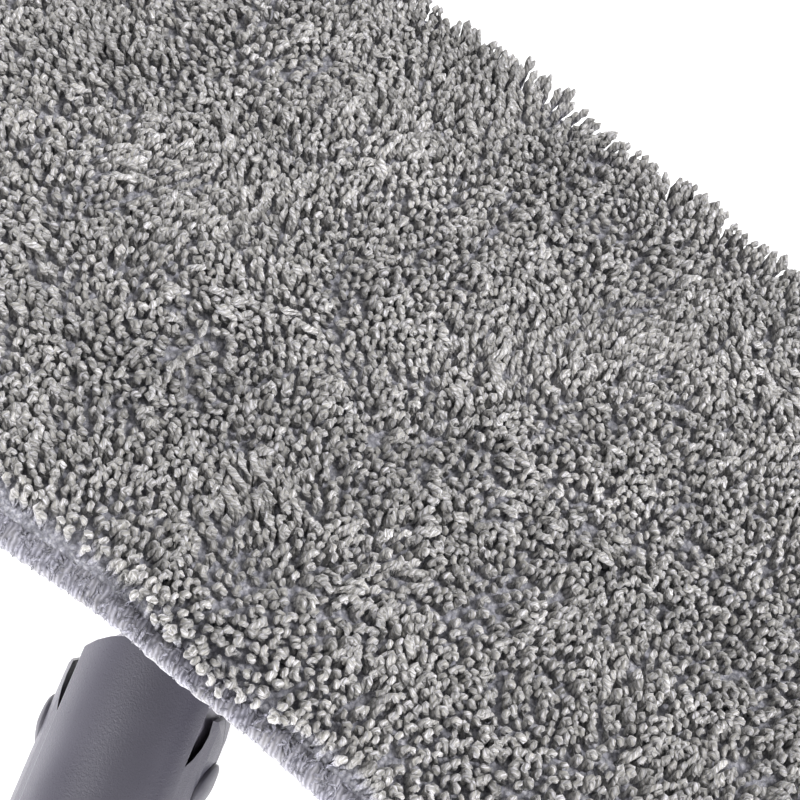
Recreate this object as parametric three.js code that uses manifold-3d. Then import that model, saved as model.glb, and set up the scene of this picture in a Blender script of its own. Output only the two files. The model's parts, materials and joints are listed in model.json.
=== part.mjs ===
// Flat floor mop lying on the floor: a twisted-loop microfibre pad on a flat plate, a two-way
// swivel joint, a moulded neck and a telescopic pole with a rubber grip and a hanging loop.
// Millimetres, +Z up. The pole lies along +X; the head has flopped over at the -X end, so its far
// long edge rests on the floor and the pad faces up and away from the grip.
import * as THREE from 'three';
import { mergeVertices } from 'three/addons/utils/BufferGeometryUtils.js';
import Module from 'manifold-3d';

const wasm = await Module();
wasm.setup();

// ---- driving dimensions ----
const GAP = 0.3;                  // clearance between neighbouring pieces
const NECK_RADIUS = 14.5;         // neck, and also the fattest part of the grip
const POLE_HEIGHT = NECK_RADIUS;  // the pole axis above the floor

const HEAD_YAW = THREE.MathUtils.degToRad(16);   // sideways swing of the head at rest
const KNUCKLE_LENGTH = 52;        // swing pin to pitch pin
const KNUCKLE_RADIUS = 13.7;      // a little slimmer than the neck

const PAD_WIDTH = 130;
const PAD_LENGTH = 400;
const PAD_CORNER = 32;
const HEM_WIDTH = 4;
const PILE_HEIGHT = 6;
const PAD_TOP = 9.6;              // back of the pad above its pile tips
const HEM_BOTTOM = 5.2;
const STRIP_TOP = 11.1;           // hook strips
const PLATE_WIDTH = 100;
const PLATE_LENGTH = 384;
const PLATE_CORNER = 24;
const PLATE_BOTTOM = STRIP_TOP + GAP;
const PLATE_RIM = 17.2;
const COVER_TOP = 20;
const PITCH_HEIGHT = 37;          // pitch pin above the pile tips

const TONGUE_HALF = 8.6;          // half thickness of the knuckle's tongue
const SLOT_HALF = 9;              // half width of the slot it turns in
const TONGUE_RADIUS = 12.2;
const SLOT_RADIUS = 12.7;
const EAR_RADIUS = 14.5;          // rounded end of the two ears, seen from the front
const EAR_CENTRE = 3.5;           // centre of that round, behind the swing pin
const SHOULDER_RADIUS = 13.2;     // hollow in the knuckle's shoulders round those ears
const FLANK_START = 9.5;            // the knuckle's flanks and the neck's side walls stop this far
const WALL_START = -2.5;            // from the swing pin, which leaves room for the swing
const PIN_RADIUS = 3;
const BARREL_RADIUS = 8.5;
const BARREL_HALF = 11.7;

const BUTTON_X = 9.6;             // behind the swing pin
const BUTTON_RADIUS = 4.75;
const BUTTON_TRAVEL = 1.2;
const CAP_INSIDE = 13;            // inner face of the button's cap, from the pole axis
const BAR_INSIDE = 11.6;          // inner face of the bar behind it
const BUTTON_PROUD = 1.1;
const POCKET_RADIUS = 5.1;
const SPRING_X = 25.4;
const SPRING_RADIUS = 2.3;
const SPRING_WIRE = 0.4;
const SPRING_TURNS = 7;
const SPRING_REACH = BAR_INSIDE - BUTTON_TRAVEL - 0.9;
const SCREW_PLACES = [18.2, 34];
const NECK_END = 104;             // neck mouth, where the tube comes out

const LOWER_RADIUS = 11;          // lower tube
const UPPER_RADIUS = 9.2;         // upper tube
const TUBE_WALL = 0.8;
const LOWER_START = 45;
const LOWER_END = 560;
const UPPER_START = 200;
const UPPER_END = 782;
const LOCK_FLUTES = 10;
const GRIP_START = 640;
const GRIP_END = 785;
const GRIP_GROOVES = 5;
const GROOVE_STEP = 16;

// ---- helpers ----
function solid(geometry) {
  const plain = geometry.clone();
  plain.deleteAttribute('normal');
  plain.deleteAttribute('uv');
  const merged = mergeVertices(plain, 1e-4);
  const mesh = new wasm.Mesh({
    numProp: 3,
    vertProperties: new Float32Array(merged.attributes.position.array),
    triVerts: new Uint32Array(merged.index.array),
  });
  mesh.merge();
  return new wasm.Manifold(mesh);
}

function asGeometry(manifold) {
  const mesh = manifold.getMesh();
  const geometry = new THREE.BufferGeometry();
  geometry.setAttribute('position', new THREE.BufferAttribute(mesh.vertProperties, 3));
  geometry.setIndex(new THREE.BufferAttribute(mesh.triVerts, 1));
  geometry.computeVertexNormals();
  return geometry;
}

// A box between two corners.
function block(x0, x1, y0, y1, z0, z1) {
  const geometry = new THREE.BoxGeometry(x1 - x0, y1 - y0, z1 - z0);
  geometry.translate((x0 + x1) / 2, (y0 + y1) / 2, (z0 + z1) / 2);
  return solid(geometry);
}

// A solid of revolution about 'x', 'y' or 'z', from [along, radius] points that start and end on
// the axis, or close on themselves.
function turned(points, axis = 'x', segments = 32, x = 0, y = 0, z = 0) {
  const closed = points[0][1] > 0;
  const ring = closed ? [...points, points[0]] : points;
  const profile = ring.map(([along, radius]) => new THREE.Vector2(radius, along));
  const geometry = new THREE.LatheGeometry(profile, segments);
  if (axis === 'x') geometry.rotateZ(-Math.PI / 2);
  if (axis === 'z') geometry.rotateX(Math.PI / 2);
  geometry.translate(x, y, z);
  return solid(geometry);
}

function rod(radius, from, to, axis, segments = 28, x = 0, y = 0, z = 0) {
  return turned([[from, 0], [from, radius], [to, radius], [to, 0]], axis, segments, x, y, z);
}

// An upright plate from an outline in XY, between two heights.
function slab(shape, z0, z1, curveSegments = 8) {
  const geometry = new THREE.ExtrudeGeometry(shape, {
    depth: z1 - z0, bevelEnabled: false, curveSegments,
  });
  geometry.translate(0, 0, z0);
  return solid(geometry);
}

// A rounded rectangle centred on the origin, x by y.
function roundedRectangle(width, length, corner, grow = 0) {
  const x = width / 2 + grow;
  const y = length / 2 + grow;
  const r = corner + grow;
  const shape = new THREE.Shape();
  shape.moveTo(x, -y + r);
  shape.lineTo(x, y - r);
  shape.absarc(x - r, y - r, r, 0, Math.PI / 2);
  shape.lineTo(-x + r, y);
  shape.absarc(-x + r, y - r, r, Math.PI / 2, Math.PI);
  shape.lineTo(-x, -y + r);
  shape.absarc(-x + r, -y + r, r, Math.PI, 1.5 * Math.PI);
  shape.lineTo(x - r, -y);
  shape.absarc(x - r, -y + r, r, 1.5 * Math.PI, 2 * Math.PI);
  return shape;
}

const finish = (color, roughness, metalness = 0) => ({ color, roughness, metalness });
const VIOLET_GREY = finish(0x625f70, 0.55);
const DARK_GREY = finish(0x3f3e46, 0.6);
const PALE_GREY = finish(0xb9b8bc, 0.5);
const STEEL = finish(0xb5b7ba, 0.25, 1);
const POLE_PAINT = finish(0xa9aab0, 0.35, 0.6);
const RUBBER = finish(0x46454d, 0.85);
const PILE = finish(0x9c9a96, 1);
const BACKING = finish(0x77757a, 1);
const HEM = finish(0xa5a3af, 1);

function piece(name, manifold, look) {
  const mesh = new THREE.Mesh(asGeometry(manifold), new THREE.MeshStandardMaterial(look));
  mesh.name = name;
  return mesh;
}

// ---- neck: two cover halves, a core, the swing pin and the two sprung buttons ----
// Local frame: swing pin on the Z axis, pole axis along +X, front face towards +Z.
function neckOutside() {
  const straight = NECK_END - 26;
  const body = turned([
    [EAR_CENTRE - EAR_RADIUS, 0], [EAR_CENTRE - EAR_RADIUS, NECK_RADIUS], [straight, NECK_RADIUS],
    [straight + 14, NECK_RADIUS - 0.7], [NECK_END - 4, LOWER_RADIUS + 2.2],
    [NECK_END - 1, LOWER_RADIUS + 1.9], [NECK_END, LOWER_RADIUS + 1.2], [NECK_END, 0],
  ], 'x', 36);
  const endRound = rod(EAR_RADIUS, -20, 20, 'z', 36, EAR_CENTRE);
  const behindRound = block(EAR_CENTRE, NECK_END + 1, -20, 20, -20, 20);
  return body.intersect(endRound.add(behindRound));
}

function neckHollows() {
  const slot = rod(SLOT_RADIUS, -SLOT_HALF, SLOT_HALF, 'z', 36)
    .add(block(-20, WALL_START, -20, 20, -SLOT_HALF, SLOT_HALF));
  const pinHole = rod(PIN_RADIUS + 0.15, -12, 12, 'z', 24);
  const coreBay = rod(12.2, 21.6, LOWER_START, 'x', 32);
  const tubeBore = rod(LOWER_RADIUS + GAP, LOWER_START - 1, NECK_END + 1, 'x', 32);
  const pocket = rod(POCKET_RADIUS, CAP_INSIDE - BUTTON_TRAVEL - GAP, 20, 'y', 32, BUTTON_X);
  const channelFloor = BAR_INSIDE - BUTTON_TRAVEL - GAP;
  const channel = block(BUTTON_X - 0.4, SPRING_X + 3.4, channelFloor, 13.2, -2.6, 2.6);
  const buttonBay = pocket.add(channel);
  return slot.add(pinHole).add(coreBay).add(tubeBore).add(buttonBay).add(buttonBay.mirror([0, 1, 0]));
}

function coverHalf(side) {
  const half = side > 0
    ? block(-30, NECK_END + 5, -30, 30, GAP / 2, 30)
    : block(-30, NECK_END + 5, -30, 30, -30, -GAP / 2);
  let cover = neckOutside().subtract(neckHollows()).intersect(half);
  const screwReach = side > 0 ? 11 : -30;
  for (const x of SCREW_PLACES) {
    const low = side > 0 ? -1 : screwReach;
    const high = side > 0 ? screwReach : 1;
    if (side < 0 || x === SCREW_PLACES[0]) cover = cover.subtract(rod(1.8, low, high, 'z', 20, x));
    if (side < 0) cover = cover.subtract(rod(3.4, -30, -NECK_RADIUS + 2.6, 'z', 24, x));
  }
  return cover;
}

function neckCore() {
  const body = turned([
    [21.9, 0], [21.9, 11.9], [LOWER_START - GAP, 11.9], [LOWER_START - GAP, 9.8], [78, 9.8], [80, 9], [80, 0],
  ], 'x', 32);
  const recess = block(20, SPRING_X + 3.8, BAR_INSIDE - BUTTON_TRAVEL - 0.5, 13, -3, 3);
  let core = body.subtract(rod(3.3, -20, 20, 'y', 24, SPRING_X));
  core = core.subtract(recess).subtract(recess.mirror([0, 1, 0]));
  core = core.subtract(rod(1.8, -20, 6, 'z', 20, SCREW_PLACES[1]));
  return core.subtract(rod(6.5, 50, 90, 'x', 32));
}

function neckScrew(x, reach) {
  const seat = -NECK_RADIUS + 2.4;
  const screw = turned([
    [seat - 1.9, 0], [seat - 1.9, 2.2], [seat - 1.3, 2.9], [seat, 2.9], [seat, 1.5], [reach, 1.5], [reach + 1, 0.6],
    [reach + 1, 0],
  ], 'z', 14, x);
  const cross = block(x - 1.7, x + 1.7, -0.4, 0.4, seat - 2.5, seat - 0.9)
    .add(block(x - 0.4, x + 0.4, -1.7, 1.7, seat - 2.5, seat - 0.9));
  return screw.subtract(cross);
}

// A coil spring across the core; its ends stop short of the buttons by their travel.
function buttonSpring() {
  class Coil extends THREE.Curve {
    getPoint(t) {
      const turn = t * 2 * Math.PI * SPRING_TURNS;
      const x = SPRING_X + SPRING_RADIUS * Math.cos(turn);
      return new THREE.Vector3(x, SPRING_REACH * (2 * t - 1), SPRING_RADIUS * Math.sin(turn));
    }
  }
  const section = new THREE.Shape().absarc(0, 0, SPRING_WIRE, 0, 2 * Math.PI);
  const geometry = new THREE.ExtrudeGeometry(section, {
    steps: 70, curveSegments: 2, bevelEnabled: false, extrudePath: new Coil(),
  });
  return solid(geometry);
}

// A round cap that follows the neck's curve, proud towards the head and flush towards the pole,
// on a bar that runs back to the spring.
function releaseButton(side) {
  const start = BUTTON_X - BUTTON_RADIUS;
  const end = BUTTON_X + BUTTON_RADIUS;
  const crown = turned([
    [start, 0], [start, NECK_RADIUS + BUTTON_PROUD - 0.5], [start + 0.5, NECK_RADIUS + BUTTON_PROUD],
    [start + 3, NECK_RADIUS + BUTTON_PROUD], [end - 2, NECK_RADIUS + 0.3], [end, NECK_RADIUS - 0.1], [end, 0],
  ], 'x', 60);
  const cap = rod(BUTTON_RADIUS, CAP_INSIDE, 20, 'y', 40, BUTTON_X).intersect(crown);
  const bar = block(BUTTON_X, SPRING_X + 2.9, BAR_INSIDE, CAP_INSIDE + 0.01, -2.2, 2.2);
  let button = cap.add(bar);
  if (side < 0) button = button.mirror([0, 1, 0]);
  return button;
}

function makeNeck() {
  const group = new THREE.Group();
  group.add(piece('neck_front_cover', coverHalf(1), VIOLET_GREY));
  group.add(piece('neck_rear_cover', coverHalf(-1), VIOLET_GREY));
  group.add(piece('neck_core', neckCore(), DARK_GREY));
  group.add(piece('swing_pin', rod(PIN_RADIUS, -11.6, 11.6, 'z', 24), STEEL));
  group.add(piece('neck_screw_1', neckScrew(SCREW_PLACES[0], 9), STEEL));
  group.add(piece('neck_screw_2', neckScrew(SCREW_PLACES[1], 4), STEEL));
  group.add(piece('button_spring', buttonSpring(), STEEL));
  group.add(piece('release_button_left', releaseButton(1), DARK_GREY));
  group.add(piece('release_button_right', releaseButton(-1), DARK_GREY));
  return group;
}

// ---- knuckle: links the neck's swing pin to the bracket's pitch pin ----
// Local frame: swing pin on the Z axis, pitch pin along Y at x = -KNUCKLE_LENGTH.
function knuckleBody() {
  const far = -KNUCKLE_LENGTH;
  const tongue = turned([
    [-TONGUE_HALF, 0], [-TONGUE_HALF, TONGUE_RADIUS - 1.6], [-5, TONGUE_RADIUS - 0.5], [0, TONGUE_RADIUS],
    [5, TONGUE_RADIUS - 0.5], [TONGUE_HALF, TONGUE_RADIUS - 1.6], [TONGUE_HALF, 0],
  ], 'z', 36);
  const shank = turned([
    [far + 6, 0], [far + 6, 8], [far + 14, 9.5], [far + 20, 12.2], [far + 25, KNUCKLE_RADIUS], [0, KNUCKLE_RADIUS], [0, 0],
  ], 'x', 36);
  const flanks = block(-FLANK_START, 30, -30, 30, -30, 30).subtract(rod(TONGUE_RADIUS - 1.6, -30, 30, 'z', 36));
  const clearEars = rod(SHOULDER_RADIUS, -30, 30, 'z', 36)
    .subtract(block(-40, 40, -40, 40, -TONGUE_HALF, TONGUE_HALF));
  const barrel = rod(BARREL_RADIUS, -BARREL_HALF, BARREL_HALF, 'y', 40, far);
  let body = shank.subtract(clearEars).subtract(flanks).add(tongue).add(barrel);
  body = body.subtract(rod(5.3, -12, 12, 'z', 32));
  body = body.subtract(rod(PIN_RADIUS + 0.2, -20, 20, 'y', 24, far));
  for (const side of [-1, 1]) {
    const z0 = side > 0 ? 10.5 : -16;
    const z1 = side > 0 ? 16 : -10.5;
    body = body.subtract(block(far + 27, far + 30, -4.5, 4.5, z0, z1));
  }
  return body;
}

function makeKnuckle() {
  const group = new THREE.Group();
  group.rotation.z = -HEAD_YAW;
  group.add(piece('knuckle', knuckleBody(), VIOLET_GREY));
  const bush = turned([
    [-8.4, PIN_RADIUS + 0.2], [-8.4, 5], [8.4, 5], [8.4, PIN_RADIUS + 0.2],
  ], 'z', 32);
  group.add(piece('swing_bush', bush, PALE_GREY));
  return group;
}

// ---- head: pad, hook strips, plate, bracket ----
// Local frame: pile tips in the plane z = 0, pitch pin along Y at z = PITCH_HEIGHT.
function padOutline(grow) {
  return roundedRectangle(PAD_WIDTH, PAD_LENGTH, PAD_CORNER, grow);
}

function addPad(group) {
  const inner = -HEM_WIDTH - GAP;
  const hem = slab(padOutline(0), HEM_BOTTOM, PAD_TOP)
    .subtract(slab(padOutline(-HEM_WIDTH), HEM_BOTTOM - 1, PAD_TOP + 1));
  group.add(piece('pad_pile', slab(padOutline(inner), 0, PILE_HEIGHT), PILE));
  group.add(piece('pad_backing', slab(padOutline(inner), PILE_HEIGHT + GAP, PAD_TOP), BACKING));
  group.add(piece('pad_hem', hem, HEM));
}

function plateOutline(grow) {
  return roundedRectangle(PLATE_WIDTH, PLATE_LENGTH, PLATE_CORNER, grow);
}

function plateBase() {
  const floorTop = PLATE_BOTTOM + 2.4;
  const inside = slab(plateOutline(-2.4), floorTop, PLATE_RIM + 1);
  let base = slab(plateOutline(0), PLATE_BOTTOM, PLATE_RIM).subtract(inside);
  for (const x of [-28, 28]) {
    base = base.add(block(x - 1, x + 1, -PLATE_LENGTH / 2 + 1, PLATE_LENGTH / 2 - 1, floorTop - 0.5, PLATE_RIM - 0.4));
  }
  for (const y of [-140, -84, -28, 28, 84, 140]) {
    base = base.add(block(-PLATE_WIDTH / 2 + 1, PLATE_WIDTH / 2 - 1, y - 1, y + 1, floorTop - 0.5, PLATE_RIM - 0.4));
  }
  return base;
}

function plateCover() {
  const bottom = PLATE_RIM + GAP;
  const bevel = COVER_TOP - bottom - 1;
  const geometry = new THREE.ExtrudeGeometry(plateOutline(-4), {
    depth: COVER_TOP - bottom, bevelEnabled: true, bevelSize: 4, bevelOffset: 0,
    bevelThickness: bevel, bevelSegments: 3, curveSegments: 6,
  });
  geometry.translate(0, 0, bottom - bevel - 0.001);
  let cover = solid(geometry).intersect(block(-80, 80, -220, 220, bottom, COVER_TOP));
  for (const side of [-1, 1]) {
    for (const x of [-34, 0, 34]) {
      const flute = roundedRectangle(9, 104, 4.4);
      const cut = slab(flute, COVER_TOP - 0.9, COVER_TOP + 1, 4).translate([x, side * 104, 0]);
      cover = cover.subtract(cut);
    }
  }
  return cover;
}

const BRACKET_SCREWS = [[-17, -23], [17, -23], [-17, 23], [17, 23]];

function swivelBracket() {
  const foot = COVER_TOP + GAP;
  const base = slab(roundedRectangle(46, 58, 8), foot, foot + 3.2, 6);
  const rise = PITCH_HEIGHT - foot;
  const cheek = new THREE.Shape();
  cheek.moveTo(-17, 1);
  cheek.lineTo(17, 1);
  cheek.quadraticCurveTo(11, 6, 9.4, rise);
  cheek.absarc(0, rise, 9.4, 0, Math.PI);
  cheek.quadraticCurveTo(-11, 6, -17, 1);
  const geometry = new THREE.ExtrudeGeometry(cheek, { depth: 4.6, bevelEnabled: false, curveSegments: 14 });
  geometry.rotateX(Math.PI / 2);
  geometry.translate(0, 0, foot);
  const ear = solid(geometry);
  const earFace = BARREL_HALF + 1.2;
  let bracket = base.add(ear.translate([0, earFace + 4.6, 0])).add(ear.translate([0, -earFace, 0]));
  bracket = bracket.subtract(rod(PIN_RADIUS + 0.15, -30, 30, 'y', 24, 0, 0, PITCH_HEIGHT));
  for (const [x, y] of BRACKET_SCREWS) bracket = bracket.subtract(rod(1.9, foot - 1, foot + 5, 'z', 20, x, y));
  return bracket;
}

function bracketScrew(x, y) {
  const seat = COVER_TOP + GAP + 3.2 + 0.2;
  const screw = turned([
    [seat - 3.6, 0], [seat - 3.6, 1.5], [seat, 1.5], [seat, 3], [seat + 1.2, 3], [seat + 2, 2.1], [seat + 2.2, 0],
  ], 'z', 14, x, y);
  const cross = block(x - 1.8, x + 1.8, y - 0.4, y + 0.4, seat + 1.1, seat + 3)
    .add(block(x - 0.4, x + 0.4, y - 1.8, y + 1.8, seat + 1.1, seat + 3));
  return screw.subtract(cross);
}

function bumper(side) {
  const ring = slab(plateOutline(2.6), PLATE_BOTTOM + 1, PLATE_RIM - 0.6)
    .subtract(slab(plateOutline(GAP), PLATE_BOTTOM, PLATE_RIM));
  const end = side > 0 ? block(-90, 90, 168, 220, 0, 30) : block(-90, 90, -220, -168, 0, 30);
  return ring.intersect(end);
}

function addPlate(group) {
  group.add(piece('plate_base', plateBase(), DARK_GREY));
  group.add(piece('plate_cover', plateCover(), VIOLET_GREY));
  for (const [name, x] of [['hook_strip_front', -36], ['hook_strip_rear', 36]]) {
    const strip = slab(roundedRectangle(26, 340, 3), PAD_TOP + GAP, STRIP_TOP, 4).translate([x, 0, 0]);
    group.add(piece(name, strip, DARK_GREY));
  }
  group.add(piece('bumper_left', bumper(1), RUBBER));
  group.add(piece('bumper_right', bumper(-1), RUBBER));
}

function addBracket(group) {
  const earOutside = BARREL_HALF + 1.2 + 4.6;
  group.add(piece('swivel_bracket', swivelBracket(), VIOLET_GREY));
  BRACKET_SCREWS.forEach(([x, y], i) => {
    group.add(piece(`bracket_screw_${i + 1}`, bracketScrew(x, y), STEEL));
  });
  const pin = turned([
    [-earOutside - 2, 0], [-earOutside - 2, 4], [-earOutside - 1.4, 4.8], [-earOutside - GAP, 4.8],
    [-earOutside - GAP, PIN_RADIUS], [earOutside + 1, PIN_RADIUS], [earOutside + 1.6, 2.4], [earOutside + 1.6, 0],
  ], 'y', 28, 0, 0, PITCH_HEIGHT);
  group.add(piece('pitch_pin', pin, STEEL));
  for (const [name, side] of [['pitch_washer_left', 1], ['pitch_washer_right', -1]]) {
    const y0 = side * (BARREL_HALF + GAP);
    const y1 = side * (BARREL_HALF + 0.9);
    const washer = turned([
      [Math.min(y0, y1), PIN_RADIUS + 0.2], [Math.min(y0, y1), 7],
      [Math.max(y0, y1), 7], [Math.max(y0, y1), PIN_RADIUS + 0.2],
    ], 'y', 28, 0, 0, PITCH_HEIGHT);
    group.add(piece(name, washer, PALE_GREY));
  }
}

// The tilt at which the back corner of the lower hem just reaches the floor.
function restTilt() {
  let low = 0;
  let high = Math.PI / 2;
  for (let i = 0; i < 60; i += 1) {
    const tilt = (low + high) / 2;
    const clearance = POLE_HEIGHT + (PITCH_HEIGHT - PAD_TOP) * Math.cos(tilt) - (PAD_WIDTH / 2) * Math.sin(tilt);
    if (clearance > 0) low = tilt;
    else high = tilt;
  }
  return low;
}

function makeHead() {
  const group = new THREE.Group();
  const tilt = restTilt();
  const along = new THREE.Vector3(Math.cos(HEAD_YAW), -Math.sin(HEAD_YAW), 0);
  const upward = new THREE.Vector3(0, 0, 1);
  const acrossPad = along.clone().multiplyScalar(Math.cos(tilt)).addScaledVector(upward, Math.sin(tilt));
  const backNormal = along.clone().multiplyScalar(Math.sin(tilt)).addScaledVector(upward, -Math.cos(tilt));
  const lengthways = new THREE.Vector3().crossVectors(backNormal, acrossPad);
  const turn = new THREE.Matrix4().makeBasis(acrossPad, lengthways, backNormal);
  group.quaternion.setFromRotationMatrix(turn);
  group.position.copy(along).multiplyScalar(-KNUCKLE_LENGTH).addScaledVector(backNormal, -PITCH_HEIGHT);
  addPad(group);
  addPlate(group);
  addBracket(group);
  return group;
}

// ---- pole: two tubes, a twist lock, a grip and a hanging loop ----
function tube(radius, from, to) {
  return turned([
    [from, radius - TUBE_WALL], [from, radius], [to, radius], [to, radius - TUBE_WALL],
  ], 'x', 32);
}

function lockCollar() {
  let collar = turned([
    [546, LOWER_RADIUS + GAP], [546, 13.2], [549, 14], [580, 14], [592, 12.4], [594, 11.4],
    [594, UPPER_RADIUS + GAP], [579, UPPER_RADIUS + GAP], [579, LOWER_RADIUS + GAP],
  ], 'x', 36);
  for (let i = 0; i < LOCK_FLUTES; i += 1) {
    const angle = (i * 2 * Math.PI) / LOCK_FLUTES;
    const y = 15.1 * Math.cos(angle);
    const z = 15.1 * Math.sin(angle);
    collar = collar.subtract(rod(1.9, 551, 577, 'x', 8, 0, y, z));
  }
  return collar;
}

function lockInsert() {
  return turned([
    [LOWER_END + GAP, UPPER_RADIUS + GAP], [LOWER_END + GAP, LOWER_RADIUS], [578, LOWER_RADIUS - 0.4],
    [578, UPPER_RADIUS + GAP],
  ], 'x', 32);
}

function tubeGuide() {
  return turned([
    [190, 0], [190, 9.4], [191, 9.9], [UPPER_START - GAP, 9.9], [UPPER_START - GAP, 8.1], [224, 8.1], [224, 0],
  ], 'x', 36).subtract(rod(5.5, 180, 230, 'x', 24));
}

// A rubber sleeve with ring grooves along its middle and a swell at its end.
function gripSleeve() {
  const inside = 11.2;
  const points = [
    [GRIP_START + 3, inside], [GRIP_START + 3, 12.6], [GRIP_START + 6, 13.6], [GRIP_START + 20, 13.9],
  ];
  for (let i = 0; i < GRIP_GROOVES; i += 1) {
    const at = GRIP_START + 26 + i * GROOVE_STEP;
    points.push([at, 13.5], [at + 0.4, 12.6], [at + 2.4, 12.6], [at + 2.8, 13.5]);
  }
  points.push(
    [GRIP_START + 124, NECK_RADIUS], [GRIP_START + 136, NECK_RADIUS],
    [GRIP_START + 141, 13.2], [GRIP_START + 141, inside],
  );
  return turned(points, 'x', 32);
}

function endCap() {
  const cap = turned([
    [UPPER_END + GAP - 30, 0], [UPPER_END + GAP - 30, 8.1], [UPPER_END + GAP, 8.1], [UPPER_END + GAP, 9.2],
    [GRIP_END + GAP, 9.2], [GRIP_END + GAP, 13], [GRIP_END + 8, 13], [GRIP_END + 14, 11.5], [GRIP_END + 18, 8.2],
    [GRIP_END + 19, 5], [GRIP_END + 19, 0],
  ], 'x', 32);
  const bore = rod(3.4, GRIP_END - 4, GRIP_END + 30, 'x', 24);
  const head = rod(5.3, GRIP_END - 12, GRIP_END + 6, 'x', 24);
  return cap.subtract(bore).subtract(head).subtract(rod(4.5, UPPER_END - 40, GRIP_END - 11, 'x', 24));
}

function gripCore() {
  return turned([
    [GRIP_START, UPPER_RADIUS + GAP], [GRIP_START, 12], [GRIP_START + 2.6, 12], [GRIP_START + 2.6, 10.9],
    [GRIP_END, 10.9], [GRIP_END, UPPER_RADIUS + GAP],
  ], 'x', 32);
}

function hangingLoop() {
  const start = GRIP_END + 19.4;
  const stem = turned([
    [GRIP_END - 8, 0], [GRIP_END - 8, 5], [GRIP_END + 5.6, 5], [GRIP_END + 5.6, 3.1], [start + 4, 3.1], [start + 4, 0],
  ], 'x', 24);
  const outer = new THREE.Shape();
  outer.moveTo(start, -5);
  outer.quadraticCurveTo(start + 4, -12, start + 16, -12);
  outer.lineTo(start + 24, -12);
  outer.absarc(start + 24, 0, 12, -Math.PI / 2, Math.PI / 2);
  outer.lineTo(start + 16, 12);
  outer.quadraticCurveTo(start + 4, 12, start, 5);
  const hole = new THREE.Path();
  hole.absarc(start + 24, 0, 7.5, -Math.PI / 2, Math.PI / 2);
  hole.lineTo(start + 15, 7.5);
  hole.quadraticCurveTo(start + 8, 6, start + 8, 0);
  hole.quadraticCurveTo(start + 8, -6, start + 15, -7.5);
  outer.holes.push(hole);
  return slab(outer, -2.6, 2.6, 12).add(stem);
}

function makePole() {
  const group = new THREE.Group();
  group.add(piece('lower_tube', tube(LOWER_RADIUS, LOWER_START, LOWER_END), POLE_PAINT));
  group.add(piece('lock_insert', lockInsert(), PALE_GREY));
  group.add(piece('lock_collar', lockCollar(), DARK_GREY));
  group.add(piece('upper_tube', tube(UPPER_RADIUS, UPPER_START, UPPER_END), POLE_PAINT));
  group.add(piece('tube_guide', tubeGuide(), PALE_GREY));
  group.add(piece('grip_core', gripCore(), DARK_GREY));
  group.add(piece('grip_sleeve', gripSleeve(), RUBBER));
  group.add(piece('end_cap', endCap(), DARK_GREY));
  group.add(piece('hanging_loop', hangingLoop(), VIOLET_GREY));
  return group;
}

// The origin is on the floor below the middle of the whole mop.
function makeMop() {
  const mop = new THREE.Group();
  mop.add(makeNeck(), makeKnuckle(), makeHead(), makePole());
  mop.position.z = POLE_HEIGHT;
  mop.updateMatrixWorld(true);
  const middle = new THREE.Box3().setFromObject(mop, true).getCenter(new THREE.Vector3());
  mop.position.set(-middle.x, -middle.y, POLE_HEIGHT);
  mop.updateMatrixWorld(true);
  return mop;
}

export default makeMop();
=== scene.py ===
"""A flat mop with a looped pad: soft pieces, finishes, camera and light. Metres, in the CAD model's frame."""

import json
import math

import bmesh
import bpy
import numpy as np
from mathutils import Matrix, Vector


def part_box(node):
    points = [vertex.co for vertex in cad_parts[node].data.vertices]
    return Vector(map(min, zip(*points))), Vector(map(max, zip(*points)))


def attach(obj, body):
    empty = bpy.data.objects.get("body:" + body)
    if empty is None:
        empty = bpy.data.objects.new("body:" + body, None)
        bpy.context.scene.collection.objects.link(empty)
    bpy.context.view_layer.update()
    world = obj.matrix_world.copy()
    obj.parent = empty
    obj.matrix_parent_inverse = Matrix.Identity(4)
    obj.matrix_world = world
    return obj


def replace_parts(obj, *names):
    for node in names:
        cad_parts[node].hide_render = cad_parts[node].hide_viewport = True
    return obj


TURN = 2 * math.pi

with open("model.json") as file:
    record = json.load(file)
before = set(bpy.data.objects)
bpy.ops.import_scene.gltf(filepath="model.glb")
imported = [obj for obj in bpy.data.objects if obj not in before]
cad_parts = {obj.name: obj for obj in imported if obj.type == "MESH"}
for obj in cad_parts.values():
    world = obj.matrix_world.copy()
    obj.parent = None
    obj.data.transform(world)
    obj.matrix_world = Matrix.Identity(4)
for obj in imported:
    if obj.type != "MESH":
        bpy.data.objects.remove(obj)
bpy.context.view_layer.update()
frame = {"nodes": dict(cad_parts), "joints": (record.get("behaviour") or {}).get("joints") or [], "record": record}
nodes = frame["nodes"]
record = frame["record"]


# ---- places, worked out from the part's own record ----
# The pad has its own axes: across its width, along its length, and out of its pile.
sole = next(m for m in record["mounts"] if m["name"] == "sole")
joints = {j["name"]: j for j in frame["joints"]}
PAD_CENTRE = np.array(sole["pos_m"])
PAD_OUT = np.array(sole["axis"]) / np.linalg.norm(sole["axis"])
PAD_ALONG = np.array(joints["head_pitch"]["axis"], float)
PAD_ACROSS = np.cross(PAD_ALONG, PAD_OUT)
SWING_PIN = np.array(joints["head_swing"]["pos_m"])
body_of = {node: body for body, members in record["behaviour"]["bodies"].items() for node in members}
slot_of = {part["node"]: part["material_slot"] for part in record["subparts"]}

PAD_WIDTH = 0.130
PAD_LENGTH = 0.400
PAD_CORNER = 0.032
HEM_WIDTH = 0.0042
GROUND_TOP = -0.0060
GROUND_UNDER = -0.0068
BACKING_UNDER = -0.0094
FILL_TOP = -0.0026


def pad_points(across, along, out):
    """Places in the frame of points given across, along and out of the pad."""
    return (
        PAD_CENTRE
        + np.multiply.outer(across, PAD_ACROSS)
        + np.multiply.outer(along, PAD_ALONG)
        + np.multiply.outer(out, PAD_OUT)
    )


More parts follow.
